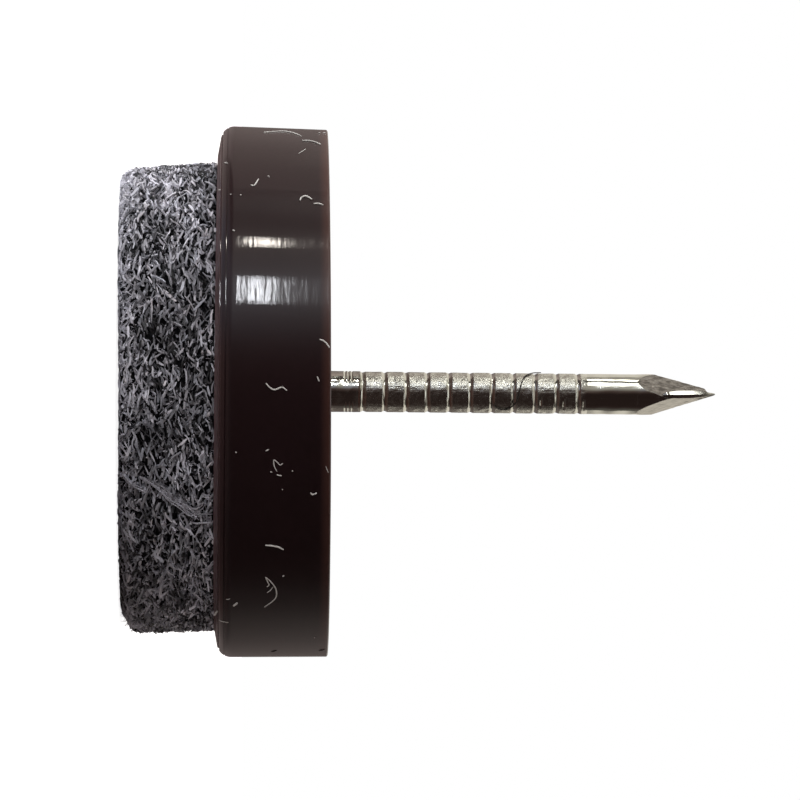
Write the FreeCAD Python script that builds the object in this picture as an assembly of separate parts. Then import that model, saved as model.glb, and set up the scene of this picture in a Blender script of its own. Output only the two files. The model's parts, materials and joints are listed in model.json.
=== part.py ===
"""Nail-on felt furniture glide: a moulded cup with a felt pad bonded into it and a ring-shank nail.

Millimetres. The origin is on the nail's axis, in the felt's floor face. +Z runs up the nail, into the leg.
The four pieces are the base cup, the felt pad, the adhesive disc between them, and the nail.
"""

import FreeCAD
import Part

import math
import os

# Felt pad, stuck a little off the cup's centre
FELT_DIAMETER = 21.8
FELT_PROJECTION = 4.35
FELT_TAPER_DEG = 1.0
FELT_EDGE_WEAR = 0.6
FELT_OFF_CENTRE = 0.15

# Adhesive disc between the felt and the cup
ADHESIVE_THICKNESS = 0.15
ADHESIVE_MARGIN = 0.4

# Base cup, which widens a little from its leg face to its lip
CUP_WALL = 1.4
CUP_WEB = 3.25
CUP_RECESS_DEPTH = 2.0
CUP_DRAFT_DEG = 1.1
CUP_LIP_SLOPE_DEG = 10.0
CUP_LIP_ROUND = 0.58
CUP_LEG_CHAMFER = 0.08

# Nail: head, and shank that swells a little under it
HEAD_DIAMETER = 5.2
HEAD_THICKNESS = 0.75
HEAD_CHAMFER = 0.15
SHANK_DIAMETER = 1.94
SHANK_SWELL = 0.05
NECK_LENGTH = 1.68
PLAIN_LENGTH = 2.77

# Nail: rings, each a long taper towards the point and a short shoulder towards the head
RING_COUNT = 11
RING_PITCH = 1.014
RING_DEPTH = 0.06
RING_TAPER = 0.2
RING_SHOULDER = 0.07
RING_LAND_RELIEF = 0.015

# Nail: marks that the heading dies leave on two sides of the neck
GRIP_MARK_COUNT = 3
GRIP_MARK_PITCH = 0.165
GRIP_MARK_WIDTH = 0.07
GRIP_MARK_DEPTH = 0.03
GRIP_MARK_HEIGHT = 0.8

# Nail: diamond point, with facets pinched in rhombic pairs and edges that the cutters flare
POINT_LENGTH = 3.77
POINT_FLARE_DEG = 1.7
FACET_PAIR_TURN_DEG = 282.5
FACET_HALF_ANGLE_DEG = 52.5

# Fits, on the radius
FELT_CLEARANCE = 0.05
HEAD_CLEARANCE = 0.1
SHANK_CLEARANCE = 0.02

# Heights worked out from the sizes above
LIP_Z = FELT_PROJECTION
SEAT_Z = LIP_Z + CUP_RECESS_DEPTH
LEG_Z = SEAT_Z + CUP_WEB
HEAD_SEAT_Z = SEAT_Z + HEAD_THICKNESS
FIRST_RING_Z = LEG_Z + NECK_LENGTH
LAST_RING_Z = FIRST_RING_Z + (RING_COUNT - 1) * RING_PITCH
POINT_Z = LAST_RING_Z + PLAIN_LENGTH
TIP_Z = POINT_Z + POINT_LENGTH

# Radii worked out from the sizes above
FELT_RADIUS = FELT_DIAMETER / 2
RECESS_RADIUS = FELT_RADIUS + FELT_OFF_CENTRE + FELT_CLEARANCE
CUP_RADIUS = RECESS_RADIUS + CUP_WALL
HEAD_RADIUS = HEAD_DIAMETER / 2
SHANK_RADIUS = SHANK_DIAMETER / 2
SWELL_RADIUS = SHANK_RADIUS + SHANK_SWELL
LAND_RADIUS = SHANK_RADIUS - RING_LAND_RELIEF

UP = FreeCAD.Vector(0, 0, 1)
CENTRE = FreeCAD.Vector(0, 0, 0)
FELT_SHIFT = FreeCAD.Vector(FELT_OFF_CENTRE, 0, 0)


def corner_points(before, corner, after, rounding):
    """Start, middle and end of a corner's arc, or only the corner where it is sharp."""
    if not rounding:
        return [corner]
    back = (before - corner).normalize()
    ahead = (after - corner).normalize()
    inward = (back + ahead).normalize()
    half_angle = back.getAngle(ahead) / 2
    reach = rounding / math.tan(half_angle)
    depth = rounding / math.sin(half_angle) - rounding
    return [corner + back * reach, corner + inward * depth, corner + ahead * reach]


def turned(outline):
    """Revolves a closed outline about the nail's axis.

    Each corner is (radius, height), or (radius, height, rounding) where it is an arc.
    """
    corners = [FreeCAD.Vector(corner[0], 0, corner[1]) for corner in outline]
    stretches = []
    for index, corner in enumerate(outline):
        rounding = corner[2] if len(corner) == 3 else 0
        after = corners[(index + 1) % len(corners)]
        stretches.append(corner_points(corners[index - 1], corners[index], after, rounding))
    edges = []
    for index, stretch in enumerate(stretches):
        edges.append(Part.LineSegment(stretches[index - 1][-1], stretch[0]).toShape())
        if len(stretch) == 3:
            edges.append(Part.Arc(*stretch).toShape())
    return Part.Face(Part.Wire(edges)).revolve(CENTRE, UP, 360)


def base_cup():
    """Moulded cup: a recess for the felt, a counterbore for the nail's head and a hole for its shank."""
    lip_outer_z = LIP_Z + CUP_WALL * math.tan(math.radians(CUP_LIP_SLOPE_DEG))
    draft = math.tan(math.radians(CUP_DRAFT_DEG))
    leg_radius = CUP_RADIUS - (LEG_Z - lip_outer_z) * draft
    bore_radius = HEAD_RADIUS + HEAD_CLEARANCE
    return turned(
        [
            (RECESS_RADIUS, LIP_Z),
            (CUP_RADIUS, lip_outer_z, CUP_LIP_ROUND),
            (leg_radius, LEG_Z - CUP_LEG_CHAMFER),
            (leg_radius - CUP_LEG_CHAMFER, LEG_Z),
            (SHANK_RADIUS + SHANK_CLEARANCE, LEG_Z),
            (SWELL_RADIUS + SHANK_CLEARANCE, HEAD_SEAT_Z),
            (bore_radius, HEAD_SEAT_Z),
            (bore_radius, SEAT_Z),
            (RECESS_RADIUS, SEAT_Z),
        ]
    )


def felt_pad():
    """Thick felt disc, straight inside the cup and drawn in a little towards its lower edge.

    The lower edge is worn soft: two bevels, which meet half way round.
    """
    floor_radius = FELT_RADIUS - LIP_Z * math.tan(math.radians(FELT_TAPER_DEG))
    felt_top_z = SEAT_Z - ADHESIVE_THICKNESS
    half_way = FELT_EDGE_WEAR * (1 - math.cos(math.radians(45)))
    felt = turned(
        [
            (0, 0),
            (floor_radius - FELT_EDGE_WEAR, 0),
            (floor_radius - half_way, half_way),
            (floor_radius, FELT_EDGE_WEAR),
            (FELT_RADIUS, LIP_Z),
            (FELT_RADIUS, felt_top_z),
            (0, felt_top_z),
        ]
    )
    felt.translate(FELT_SHIFT)
    return felt


def adhesive_disc():
    """Thin disc that bonds the felt to the cup's seat and covers the nail's head."""
    base = FreeCAD.Vector(0, 0, SEAT_Z - ADHESIVE_THICKNESS) + FELT_SHIFT
    return Part.makeCylinder(FELT_RADIUS - ADHESIVE_MARGIN, ADHESIVE_THICKNESS, base, UP)


def ring_outline():
    """Outline points of the rings, from the head towards the point."""
    points = []
    for ring in range(RING_COUNT):
        root_z = FIRST_RING_Z + ring * RING_PITCH
        before = SHANK_RADIUS if ring == 0 else LAND_RADIUS
        points.append((before, root_z - RING_TAPER))
        points.append((LAND_RADIUS - RING_DEPTH, root_z))
        points.append((LAND_RADIUS, root_z + RING_SHOULDER))
    return points


def grip_marks():
    """Shallow flats across two opposite sides of the neck, just outside the cup."""
    marks = []
    span = SHANK_DIAMETER
    for mark in range(GRIP_MARK_COUNT):
        low_z = LEG_Z + GRIP_MARK_HEIGHT + mark * GRIP_MARK_PITCH
        for side in (-1, 1):
            inner_x = side * (SHANK_RADIUS - GRIP_MARK_DEPTH)
            corner = FreeCAD.Vector(min(inner_x, inner_x + side * span), -span / 2, low_z)
            marks.append(Part.makeBox(span, span, GRIP_MARK_WIDTH, corner))
    return marks


def point_cutters():
    """Four blocks whose faces leave the facets of the diamond point."""
    reach = 3 * POINT_LENGTH
    heel_radius = SHANK_RADIUS
    tilt_deg = math.degrees(math.atan2(POINT_LENGTH, heel_radius))
    tip = FreeCAD.Vector(0, 0, TIP_Z)
    cutters = []
    for pair_turn in (FACET_PAIR_TURN_DEG, FACET_PAIR_TURN_DEG + 180):
        for side in (-1, 1):
            turn_deg = pair_turn + side * FACET_HALF_ANGLE_DEG
            block = Part.makeBox(reach, reach, reach, FreeCAD.Vector(-reach / 2, -reach / 2, 0))
            block.rotate(CENTRE, FreeCAD.Vector(0, 1, 0), tilt_deg)
            block.rotate(CENTRE, UP, turn_deg)
            block.translate(tip)
            cutters.append(block)
    return cutters


def nail():
    """Headed ring-shank nail with a diamond point."""
    flare_radius = LAND_RADIUS + POINT_LENGTH * math.tan(math.radians(POINT_FLARE_DEG))
    blank = turned(
        [
            (0, SEAT_Z),
            (HEAD_RADIUS - HEAD_CHAMFER, SEAT_Z),
            (HEAD_RADIUS, SEAT_Z + HEAD_CHAMFER),
            (HEAD_RADIUS, HEAD_SEAT_Z),
            (SWELL_RADIUS, HEAD_SEAT_Z),
            (SHANK_RADIUS, LEG_Z),
            *ring_outline(),
            (LAND_RADIUS, POINT_Z),
            (flare_radius, TIP_Z),
            (0, TIP_Z),
        ]
    )
    return blank.cut(grip_marks()).cut(point_cutters())


PIECES = {
    "base_cup": base_cup,
    "felt_pad": felt_pad,
    "adhesive_disc": adhesive_disc,
    "nail": nail,
}

os.makedirs("parts", exist_ok=True)
for name, make in PIECES.items():
    make().exportStep(f"parts/{name}.step")
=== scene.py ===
"""Dresses the nail-on felt glide: glossy moulded cup, matted felt, ring-shank nail, and lint on the cup.

Shapes are worked out in millimetres in the row frame and scaled to metres when a mesh is made.
The photo looks along +Y at the object lying on its side, so +Z is the picture's right and -X is its up.
"""

import bpy
import json
import math

import numpy as np
from mathutils import Matrix, Vector


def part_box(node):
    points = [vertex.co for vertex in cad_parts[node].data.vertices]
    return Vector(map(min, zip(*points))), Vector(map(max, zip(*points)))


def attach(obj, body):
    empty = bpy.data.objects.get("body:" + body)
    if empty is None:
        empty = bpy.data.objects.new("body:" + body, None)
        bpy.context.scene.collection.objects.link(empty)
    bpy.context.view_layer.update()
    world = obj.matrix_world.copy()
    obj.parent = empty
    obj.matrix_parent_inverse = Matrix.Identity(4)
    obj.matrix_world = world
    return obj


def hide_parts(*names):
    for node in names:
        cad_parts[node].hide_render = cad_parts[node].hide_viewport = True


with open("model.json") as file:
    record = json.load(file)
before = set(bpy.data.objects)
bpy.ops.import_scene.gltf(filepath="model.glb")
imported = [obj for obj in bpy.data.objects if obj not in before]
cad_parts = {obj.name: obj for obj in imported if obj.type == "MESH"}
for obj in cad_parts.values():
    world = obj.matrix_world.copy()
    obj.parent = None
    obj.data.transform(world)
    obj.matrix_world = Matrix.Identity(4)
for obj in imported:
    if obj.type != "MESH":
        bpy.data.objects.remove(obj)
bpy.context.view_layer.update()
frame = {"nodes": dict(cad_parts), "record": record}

MM = 0.001
BODY = "root"


def box_mm(node):
    """Lowest and highest corner of a CAD node, in millimetres."""
    low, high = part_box(node)
    return np.array(low) / MM, np.array(high) / MM


# Sizes read from the frame
CUP_LOW, CUP_HIGH = box_mm("base_cup")
FELT_LOW, FELT_HIGH = box_mm("felt_pad")
NAIL_LOW, NAIL_HIGH = box_mm("nail")
SHANK_MOUNT = next(mount for mount in frame["record"]["mounts"] if mount["name"] == "nail_shank")
LIP_Z = CUP_LOW[2]
LEG_Z = CUP_HIGH[2]
SEAT_Z = NAIL_LOW[2]
TIP_Z = NAIL_HIGH[2]
FELT_TOP_Z = FELT_HIGH[2]
FELT_RADIUS = (FELT_HIGH[1] - FELT_LOW[1]) / 2
FELT_CENTRE_X = (FELT_HIGH[0] + FELT_LOW[0]) / 2
HEAD_RADIUS = NAIL_HIGH[1]
SHANK_RADIUS = SHANK_MOUNT["dims"]["r_mm"]
POINT_Z = LEG_Z + SHANK_MOUNT["dims"]["length_mm"]

# Cup
CUP_RADIUS = 12.53
CUP_WALL = 1.4
RECESS_RADIUS = CUP_RADIUS - CUP_WALL
CUP_DRAFT_DEG = 1.1
CUP_LIP_SLOPE_DEG = 10.0
CUP_LIP_ROUND = 0.66
CUP_LEG_CHAMFER = 0.05
CUP_RIDGE_HEIGHTS = (4.57, 4.84)
CUP_RIDGE_WIDTH = 0.06
CUP_RIDGE_TILTS_DEG = (1.0, 1.25, 1.5, 1.75)
CUP_LEAN_AT_LIP = 0.03
CUP_LEAN_AT_LEG = 0.12
CUP_LIP_TILT = 0.11
CUP_SEGMENTS = 320
BORE_RADIUS = 2.7
HOLE_GAP = 0.04

# Felt
FELT_SWELL = 0.03
FELT_TAPER_DEG = 1.3
FELT_EDGE_ROUND = 0.7
FELT_EDGE_ROUND_SPREAD = 0.14
FELT_EDGE_FLATTENING = 0.9
FELT_DROP = 0.13
FELT_BODY_INSET = 0.26
FELT_BODY_FLOOR = 0.1
FELT_LEAN_AT_LIP = 0.12
FELT_LEAN_AT_FLOOR = 0.34

# Nail
HEAD_CHAMFER = 0.15
HEAD_THICKNESS = 0.75
SHANK_SWELL = 0.05
NECK_LENGTH = 1.68
RING_COUNT = 11
RING_PITCH = 1.014
RING_DEPTH = 0.06
RING_DEPTH_SPREAD = 0.18
RING_WAVE = 0.014
RING_RIPPLE = 0.008
RING_TAPER = 0.11
RING_SHOULDER = 0.14
RING_LAND_RELIEF = 0.015
GRIP_MARK_COUNT = 3
GRIP_MARK_PITCH = 0.165
GRIP_MARK_WIDTH = 0.09
GRIP_MARK_DEPTH = 0.035
GRIP_MARK_LOWER_SHARE = 0.3
GRIP_MARK_HEIGHT = 0.84
NICK_DEPTH = 0.035
NICK_HALF_HEIGHT = 0.07
DENT_DEPTH = 0.004
TEAR_DEPTH = 0.010
POINT_FLARE_DEG = 1.7
RIDGE_TURN_DEG = 282.5
NAIL_LEAN_DEG = 0.585
THINNEST_RADIUS = 0.004
HEAD_SEAT_Z = SEAT_Z + HEAD_THICKNESS
FIRST_RING_Z = LEG_Z + NECK_LENGTH
SWELL_RADIUS = SHANK_RADIUS + SHANK_SWELL
LAND_RADIUS = SHANK_RADIUS - RING_LAND_RELIEF

# Camera, solved from the photo
PICTURE_SIZE = 800
CAMERA_PLACE = Vector((0.0, -240.0, 6.018))
CAMERA_TARGET = Vector((0.433, 0.0, 13.048))
CAMERA_HALF_VIEW_DEG = 4.504
SENSOR_MM = 36.0


def camera_axes():
    """Right, up and forward directions of the camera in the row frame."""
    forward = (CAMERA_TARGET - CAMERA_PLACE).normalized()
    right = forward.cross(Vector((-1, 0, 0))).normalized()
    return right, right.cross(forward), forward


def pixel_ray(pixel):
    """Direction from the camera through a pixel of the photo."""
    right, up, forward = camera_axes()
    half = PICTURE_SIZE / 2
    focal = half / math.tan(math.radians(CAMERA_HALF_VIEW_DEG))
    across, down = pixel[0] - half, pixel[1] - half
    return (forward * focal + right * across - up * down).normalized()


def on_round(pixel, radius, centre_x=0.0):
    """Point where the ray through a pixel meets the near side of an upright cylinder."""
    ray = pixel_ray(pixel)
    start_x, start_y = CAMERA_PLACE.x - centre_x, CAMERA_PLACE.y
    a = ray.x ** 2 + ray.y ** 2
    b = start_x * ray.x + start_y * ray.y
    c = start_x ** 2 + start_y ** 2 - radius ** 2
    reach = (-b - math.sqrt(max(b * b - a * c, 0.0))) / a
    return np.array(CAMERA_PLACE + ray * reach)


# Mesh helpers

def add_object(name, data):
    """New object in the scene."""
    thing = bpy.data.objects.new(name, data)
    bpy.context.scene.collection.objects.link(thing)
    return thing


def make_piece(name, points, faces, material, sharp_deg):
    """New smooth-shaded mesh object from millimetre points, riding on the body."""
    mesh = bpy.data.meshes.new(name)
    mesh.from_pydata((np.asarray(points) * MM).tolist(), [], faces)
    mesh.polygons.foreach_set("use_smooth", np.ones(len(mesh.polygons), dtype=bool))
    mesh.set_sharp_from_angle(angle=math.radians(sharp_deg))
    mesh.materials.append(material)
    piece = add_object(name, mesh)
    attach(piece, BODY)
    return piece


def hold_number(mesh, name, values):
    """Keeps a number on each point of a mesh, for its material."""
    mesh.attributes.new(name, "FLOAT", "POINT").data.foreach_set("value", values.copy())


def hold_colour(mesh, name, colours):
    """Keeps a colour on each point of a mesh, for its material."""
    opaque = np.ones((len(colours), 4))
    opaque[:, :3] = colours
    mesh.attributes.new(name, "FLOAT_COLOR", "POINT").data.foreach_set("color", opaque.ravel())


def band_faces(rows, segments, closed=False):
    """Quads between neighbouring rings of points, facing away from the axis when the rows go up."""
    faces = []
    for row in range(rows if closed else rows - 1):
        low = row * segments
        high = (row + 1) % rows * segments
        for step in range(segments):
            after = (step + 1) % segments
            faces.append((low + step, low + after, high + after, high + step))
    return faces


def fan_faces(centre, ring_start, segments, upward):
    """Triangles from a centre point to a ring."""
    faces = []
    for step in range(segments):
        edge = (ring_start + step, ring_start + (step + 1) % segments)
        faces.append((centre, *edge) if upward else (centre, *reversed(edge)))
    return faces


def clip01(value):
    """Value held between nought and one."""
    return np.clip(value, 0, 1)


def polar(radius, turn, z):
    """Points at a radius and a turn about the nail's axis."""
    return np.stack([radius * np.cos(turn), radius * np.sin(turn), z], axis=-1)


def turned_points(outline, segments):
    """Rings of points for an outline of (radius, height), turned about the nail's axis."""
    turn = np.arange(segments) * 2 * math.pi / segments
    outline = np.asarray(outline, dtype=float)
    return polar(outline[:, :1], turn, np.repeat(outline[:, 1:], segments, axis=1))


def even_run(start, end, count):
    """Points evenly along a straight run, without its end."""
    start, end = np.array(start, dtype=float), np.array(end, dtype=float)
    return [tuple(start + (end - start) * step / count) for step in range(count)]


def arch(steps, margin, power=1):
    """Half wave along a path that starts and ends a margin, in radians, inside its feet."""
    return np.sin(np.linspace(margin, math.pi - margin, steps)) ** power


def off_axis(points):
    """Directions from the nail's axis to the points."""
    return points * np.array([1, 1, 0])


def tubes(paths, radii, ups, sides):
    """Points and faces of closed tubes along many paths of equal point count."""
    count, length = paths.shape[:2]
    along = np.gradient(paths, axis=1)
    along /= np.linalg.norm(along, axis=2, keepdims=True)
    side = np.cross(along, ups)
    side /= np.linalg.norm(side, axis=2, keepdims=True)
    lift = np.cross(side, along)
    turn = (np.arange(sides) * 2 * math.pi / sides)[:, None]
    around = side[:, :, None] * np.cos(turn) + lift[:, :, None] * np.sin(turn)
    points = paths[:, :, None] + around * radii[:, :, None, None]
    index = np.arange(count * length * sides).reshape(count, length, sides)
    after = np.roll(index, -1, axis=2)
    quads = np.stack([index[:, :-1], index[:, 1:], after[:, 1:], after[:, :-1]], axis=-1)
    caps = index[:, 0].tolist() + index[:, -1, ::-1].tolist()
    return points.reshape(-1, 3), quads.reshape(-1, 4).tolist() + caps


def make_tubes(name, paths, sizes, ups, material, sides=8):
    """One piece of many smooth tubes."""
    points, faces = tubes(paths, sizes, ups, sides)
    return make_piece(name, points, faces, material, sharp_deg=80)


# Material helpers

def new_material(name):
    """Node material with a Principled shader; returns the material, its tree and the shader."""
    material = bpy.data.materials.new(name)
    material.use_nodes = True
    tree = material.node_tree
    return material, tree, tree.nodes["Principled BSDF"]


def set_inputs(tree, node, inputs):
    """Sets a node's sockets, each to a value or to another node's output."""
    for key, value in inputs.items():
        if isinstance(value, bpy.types.NodeSocket):
            tree.links.new(value, node.inputs[key])
        else:
            node.inputs[key].default_value = value


def add(tree, kind, inputs=None, **settings):
    """New node with its settings and inputs."""
    node = tree.nodes.new(kind)
    for key, value in settings.items():
        setattr(node, key, value)
    set_inputs(tree, node, inputs or {})
    return node


def attribute(tree, name, output="Fac"):
    """What the mesh's points hold under a name."""
    return add(tree, "ShaderNodeAttribute", attribute_name=name).outputs[output]


def work_out(tree, operation, *values):
    """Result of a Math node."""
    return add(tree, "ShaderNodeMath", dict(enumerate(values)), operation=operation).outputs[0]


def noise(tree, scale, detail=3.0, roughness=0.5):
    """Noise in object space; scale is features per millimetre along x, y and z."""
    place = add(tree, "ShaderNodeTexCoord")
    per_metre = tuple(value / MM for value in scale)
    spread = add(tree, "ShaderNodeMapping", {"Vector": place.outputs["Object"], "Scale": per_metre})
    inputs = {"Vector": spread.outputs["Vector"], "Scale": 1.0, "Detail": detail, "Roughness": roughness}
    return add(tree, "ShaderNodeTexNoise", inputs).outputs["Fac"]


def remap(tree, value, low, high, to_low, to_high):
    """Value taken from one range to another, held at its ends."""
    inputs = {"Value": value, "From Min": low, "From Max": high, "To Min": to_low, "To Max": to_high}
    return add(tree, "ShaderNodeMapRange", inputs).outputs["Result"]


def blend_colour(tree, factor, first, second):
    """Mix of two colours, each a value or a node's output."""
    inputs = {"Factor": factor, 6: first, 7: second}
    return add(tree, "ShaderNodeMix", inputs, data_type="RGBA").outputs[2]


def blend_number(tree, factor, first, second):
    """Mix of two numbers, each a value or a node's output."""
    inputs = {"Factor": factor, 2: first, 3: second}
    return add(tree, "ShaderNodeMix", inputs, data_type="FLOAT").outputs[0]


def bump(tree, height, distance_mm, normal=None):
    """Bump of a real depth."""
    inputs = {"Height": height, "Distance": distance_mm * MM, "Strength": 1.0}
    if normal is not None:
        inputs["Normal"] = normal
    return add(tree, "ShaderNodeBump", inputs).outputs["Normal"]


# Materials: colours are linear red, green, blue and opacity, and a pair is blended by noise
CUP_BROWNS = (0.0122, 0.0047, 0.0056, 1), (0.0164, 0.0064, 0.0075, 1)
# Painted reflection: the lip's colour, painted paler where its coat is thin
CUP_RIM_PAINTED_REFLECTION = (0.15, 0.092, 0.096, 1)
# Painted glow of the light that comes through the thin leg edge
CUP_PAINTED_EDGE_GLOW = (0.054, 0.022, 0.0175, 1)
# Near-black painted shade for the gaps between the felt's fibres
FELT_PAINTED_GAP_SHADES = (0.004, 0.004, 0.005, 1), (0.02, 0.02, 0.023, 1)
STEEL_GREYS = (0.68, 0.69, 0.62, 1), (0.86, 0.87, 0.79, 1)
TORN_GREYS = (0.20, 0.185, 0.165, 1), (0.55, 0.52, 0.47, 1)
GLUE_AMBERS = (0.42, 0.36, 0.22, 1), (0.62, 0.57, 0.44, 1)
LINT_GREYS = (0.42, 0.40, 0.38, 1), (0.78, 0.75, 0.72, 1)
HAIR_BROWNS = (0.015, 0.012, 0.01, 1), (0.04, 0.032, 0.028, 1)
WORN_ROUGHNESS = 0.5


def dress(name, look, *values):
    """New material whose shader gets the inputs that a look works out in its tree."""
    material, tree, shader = new_material(name)
    set_inputs(tree, shader, look(tree, *values))
    return material


def cup_plastic(tree):
    """Dark brown glossy plastic with fine turning marks, a lip painted paler as a painted reflection, and a
    reddish painted glow where light comes in at the leg edge.
    """
    brown = blend_colour(tree, noise(tree, (0.5, 0.5, 0.5), detail=4), *CUP_BROWNS)
    height = attribute(tree, "level")
    # Painted glow: towards the leg edge the colour turns reddish, for light that comes through the plastic
    # there
    edge = remap(tree, height, LEG_Z - 0.5, LEG_Z - 0.14, 0.0, 1.0)
    # Painted reflection: towards the lip the colour turns paler, standing in for the reflection that its thin
    # coat doesn't give
    rim = remap(tree, height, LIP_Z + 0.05, LIP_Z + 0.32, 1.0, 0.0)
    rim_with_painted_reflection = blend_colour(tree, rim, brown, CUP_RIM_PAINTED_REFLECTION)
    turning = noise(tree, (0.9, 0.9, 4.6), detail=2)
    ripple = noise(tree, (0.12, 0.12, 0.5), detail=1)
    haze = noise(tree, (0.6, 0.6, 3.6), detail=4, roughness=0.6)
    gloss = remap(tree, haze, 0.3, 0.7, 0.03, 0.055)
    rub = remap(tree, height, LEG_Z - 0.16, LEG_Z - 0.06, 0.0, 1.0)
    dull = remap(tree, height, LIP_Z + 0.15, LIP_Z + 0.18, 1.0, 0.0)
    worn = work_out(tree, "MAXIMUM", rub, dull)
    return {
        "Base Color": blend_colour(tree, edge, rim_with_painted_reflection, CUP_PAINTED_EDGE_GLOW),
        "Roughness": blend_number(tree, worn, gloss, WORN_ROUGHNESS),
        "IOR": 1.35,
        "Coat Weight": remap(tree, height, LIP_Z + 0.16, LIP_Z + 0.6, 0.1, 0.85),
        "Coat Roughness": 0.3,
        "Coat IOR": 1.5,
        "Normal": bump(tree, turning, 0.0008, bump(tree, ripple, 0.0015)),
    }


def felt_ground(tree):
    """Near-black painted shade for the gaps between the loose fibres, on the matted wool under them."""
    tangle = noise(tree, (5.0, 5.0, 9.0), detail=6, roughness=0.7)
    return {
        "Base Color": blend_colour(tree, remap(tree, tangle, 0.35, 0.7, 0, 1), *FELT_PAINTED_GAP_SHADES),
        "Roughness": 0.95,
        "Specular IOR Level": 0.1,
        "Normal": bump(tree, tangle, 0.12),
    }


def fibre_wool(tree):
    """Wool fibre whose shade is held on the mesh."""
    return {
        "Base Color": attribute(tree, "shade", "Color"),
        "Roughness": 0.7,
        "Specular IOR Level": 0.25,
        "Sheen Weight": 0.15,
    }


def nail_steel(tree):
    """Bright drawn steel, rougher where the rings were rolled and torn at the point's cuts."""
    torn = attribute(tree, "torn")
    rolled = attribute(tree, "rolled")
    scratch = noise(tree, (14.0, 14.0, 0.35), detail=4, roughness=0.6)
    dent = noise(tree, (4.4, 4.4, 3.0), detail=3)
    tear = noise(tree, (8.0, 8.0, 1.8), detail=4, roughness=0.6)
    steel = blend_colour(tree, scratch, *STEEL_GREYS)
    ragged = blend_colour(tree, remap(tree, tear, 0.35, 0.65, 0, 1), *TORN_GREYS)
    polished = remap(tree, scratch, 0.3, 0.7, 0.07, 0.15)
    matt = remap(tree, dent, 0.3, 0.7, 0.16, 0.32)
    shank = blend_number(tree, rolled, polished, matt)
    tear_depth = work_out(tree, "MULTIPLY", tear, torn)
    dent_depth = work_out(tree, "MULTIPLY", dent, rolled)
    streak_depth = work_out(tree, "MULTIPLY", scratch, rolled)
    drawn = bump(tree, streak_depth, 0.011, bump(tree, scratch, 0.0012))
    return {
        "Base Color": blend_colour(tree, torn, steel, ragged),
        "Metallic": 1.0,
        "Roughness": blend_number(tree, torn, shank, WORN_ROUGHNESS),
        "Normal": bump(tree, tear_depth, 0.03, bump(tree, dent_depth, 0.028, drawn)),
    }


def glue_film(tree):
    """Dried amber glue."""
    smear = noise(tree, (0.8, 0.8, 0.8), detail=5)
    return {
        "Base Color": blend_colour(tree, smear, *GLUE_AMBERS),
        "Roughness": remap(tree, smear, 0.3, 0.7, 0.4, 0.6),
        "Normal": bump(tree, smear, 0.02),
    }


def loose_hair(tree, colours, roughness):
    """Dust fibre or hair, flecked along its length."""
    fleck = noise(tree, (4.0, 4.0, 4.0), detail=3)
    return {"Base Color": blend_colour(tree, fleck, *colours), "Roughness": roughness}


# Cup

def cup_outside(z):
    """Radius of the cup's outside at a height, read off its outline."""
    clear_of_recess = RECESS_RADIUS + 0.01
    wall = np.array([(radius, height) for radius, height in cup_outline() if radius > clear_of_recess])
    radii, heights = wall[np.argsort(wall[:, 1])].T
    return float(np.interp(z, heights, radii))


def with_ridges(arc):
    """The lip's rounding with narrow upright bands in it, which the mould's joints left."""
    for middle in CUP_RIDGE_HEIGHTS:
        low, high = middle - CUP_RIDGE_WIDTH / 2, middle + CUP_RIDGE_WIDTH / 2
        below = [point for point in arc if point[1] < low]
        above = [point for point in arc if point[1] > high]
        step = CUP_RIDGE_WIDTH / len(CUP_RIDGE_TILTS_DEG)
        band = [(below[-1][0], low)]
        for tilt in CUP_RIDGE_TILTS_DEG:
            radius, height = band[-1]
            band.append((radius - step * math.tan(math.radians(tilt)), height + step))
        arc = below + band + above
    return arc


def cup_outline():
    """Closed outline of the cup, from the recess rim round the outside to the seat."""
    lip_steps, arc_steps, wall_steps, leg_steps, inner_steps = 8, 48, 24, 20, 4
    slope = math.radians(CUP_LIP_SLOPE_DEG)
    draft = math.radians(CUP_DRAFT_DEG)
    lip_z = LIP_Z + CUP_WALL * math.tan(slope)
    turn_deg = 90 - CUP_LIP_SLOPE_DEG + CUP_DRAFT_DEG
    reach = CUP_LIP_ROUND * math.tan(math.radians(turn_deg) / 2)
    arc_start = np.array([CUP_RADIUS - reach * math.cos(slope), lip_z - reach * math.sin(slope)])
    centre = arc_start + CUP_LIP_ROUND * np.array([-math.sin(slope), math.cos(slope)])
    arc = []
    for step in range(arc_steps + 1):
        angle = slope - math.pi / 2 + (math.pi / 2 - slope + draft) * step / arc_steps
        arc.append(tuple(centre + CUP_LIP_ROUND * np.array([math.cos(angle), math.sin(angle)])))
    leg_radius = CUP_RADIUS - (LEG_Z - lip_z) * math.tan(draft)
    wall_end = (leg_radius, LEG_Z - CUP_LEG_CHAMFER)
    hole_start = (SHANK_RADIUS + HOLE_GAP, LEG_Z)
    hole_end = (SWELL_RADIUS + HOLE_GAP, HEAD_SEAT_Z)
    outline = even_run((RECESS_RADIUS, LIP_Z), arc_start, lip_steps) + with_ridges(arc)
    outline += even_run(outline[-1], wall_end, wall_steps)[1:] + [wall_end]
    outline += even_run((leg_radius - CUP_LEG_CHAMFER, LEG_Z), hole_start, leg_steps)
    outline += even_run(hole_start, hole_end, inner_steps)
    outline += [hole_end, (BORE_RADIUS, HEAD_SEAT_Z), (BORE_RADIUS, SEAT_Z)]
    outline += even_run((RECESS_RADIUS, SEAT_Z), (RECESS_RADIUS, LIP_Z), inner_steps)
    return outline


def up_the_cup(z):
    """Share of the way from the lip to the leg face."""
    return clip01((z - LIP_Z) / (LEG_Z - LIP_Z))


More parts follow.
